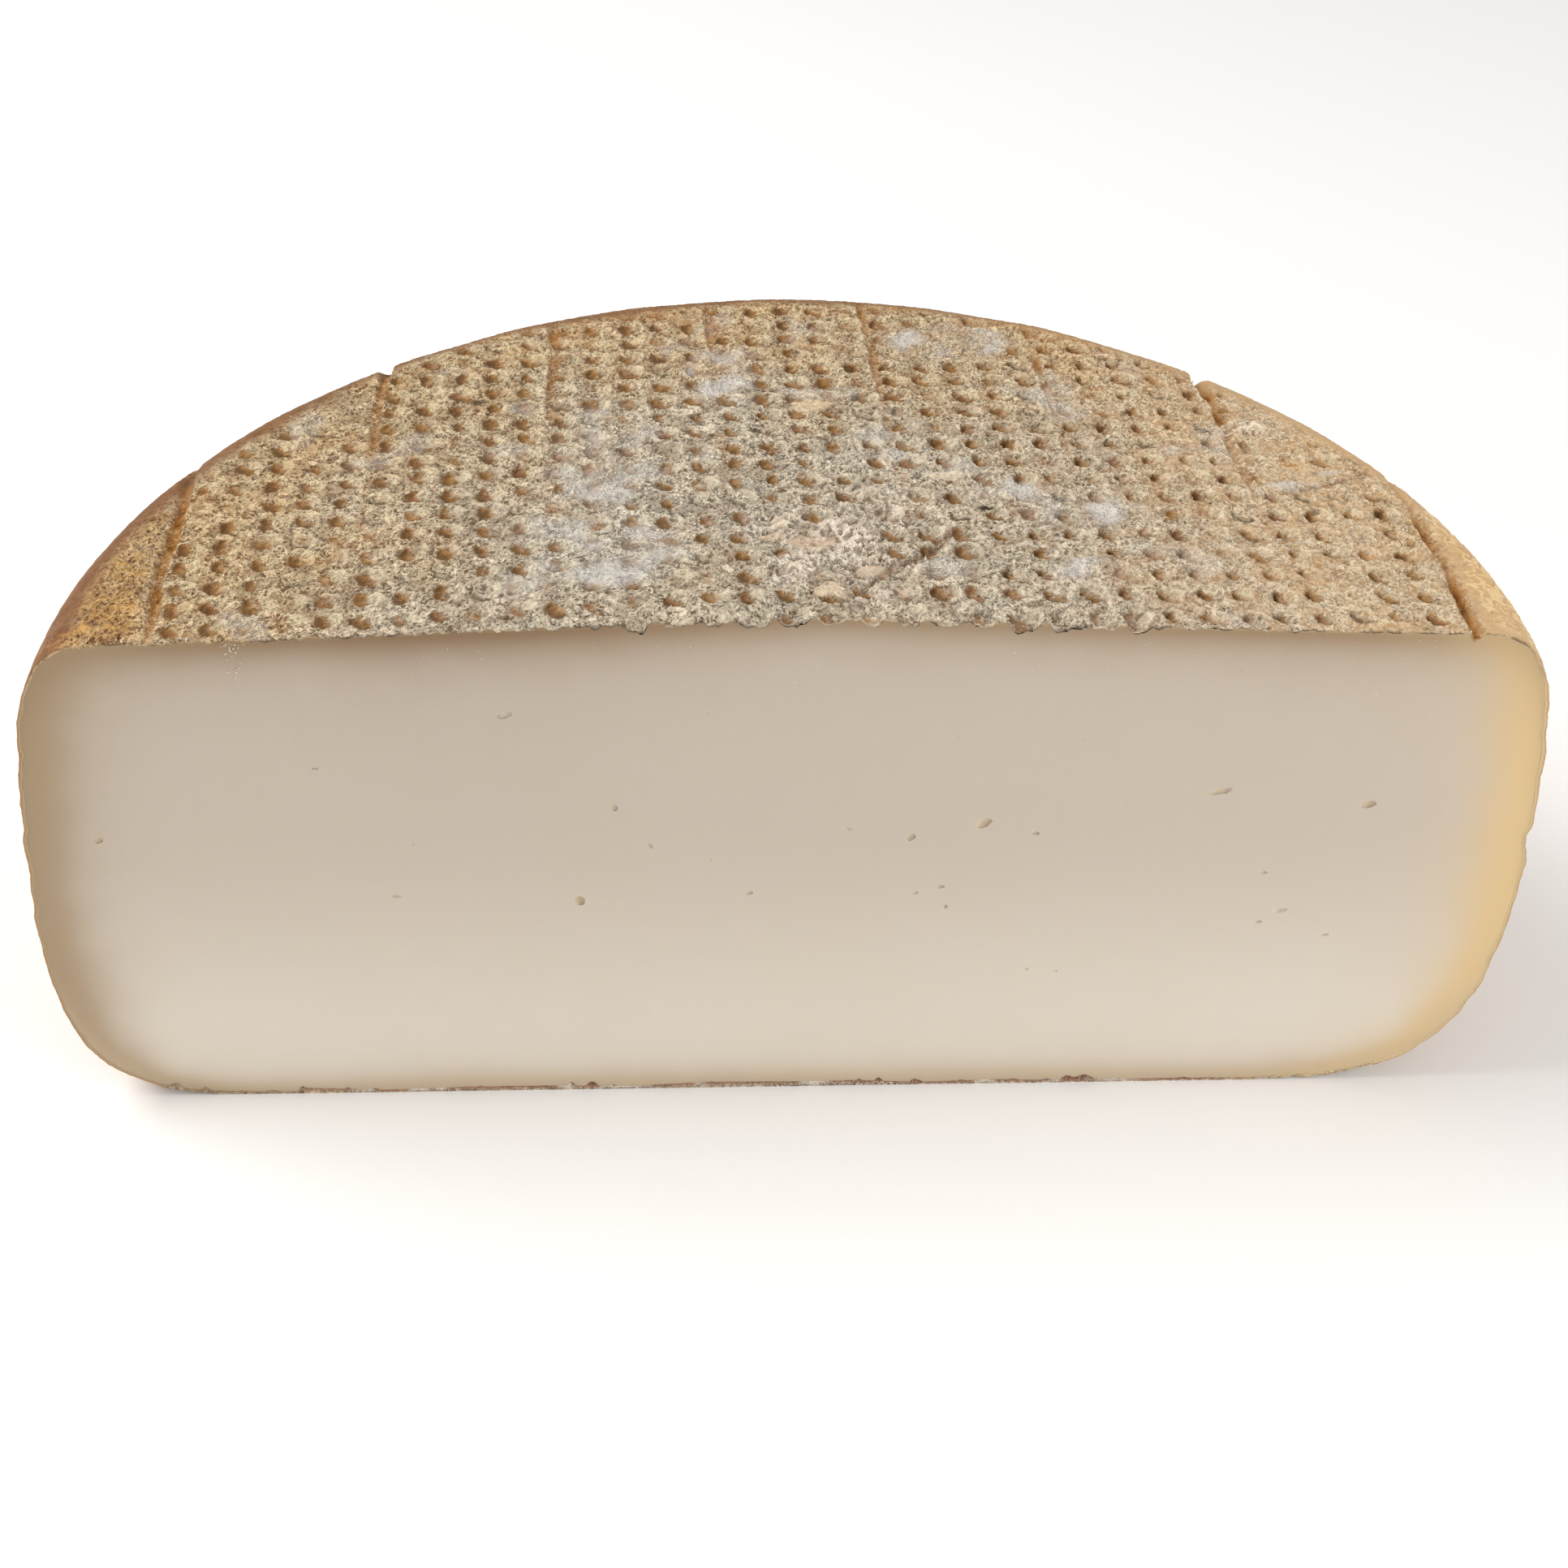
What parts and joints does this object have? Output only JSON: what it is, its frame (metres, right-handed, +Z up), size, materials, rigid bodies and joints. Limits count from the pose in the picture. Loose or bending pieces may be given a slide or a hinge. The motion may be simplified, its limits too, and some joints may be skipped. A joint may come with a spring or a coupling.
{
  "type": "cheese wheel",
  "caption": "Half of a round semi-hard cheese wheel with a straight cut face, a pitted and grooved rind on top, rounded edges and a flat underside.",
  "frame": {"origin": "on the surface the cheese rests on, under the middle of the half wheel's box", "axes": "+X along the cut, to the right as one faces the cut; +Y away from the cut face into the wheel; +Z up"},
  "size_m": [0.28, 0.143, 0.1159],
  "materials": {
    "rind": "dry, pitted natural rind, tan with orange-brown pits and white bloom",
    "paste": "smooth cut paste, ivory, faintly waxy, darker under the rind"
  },
  "bodies": {
    "root": {"cheese_half_wheel": "rind"}
  },
  "joints": []
}
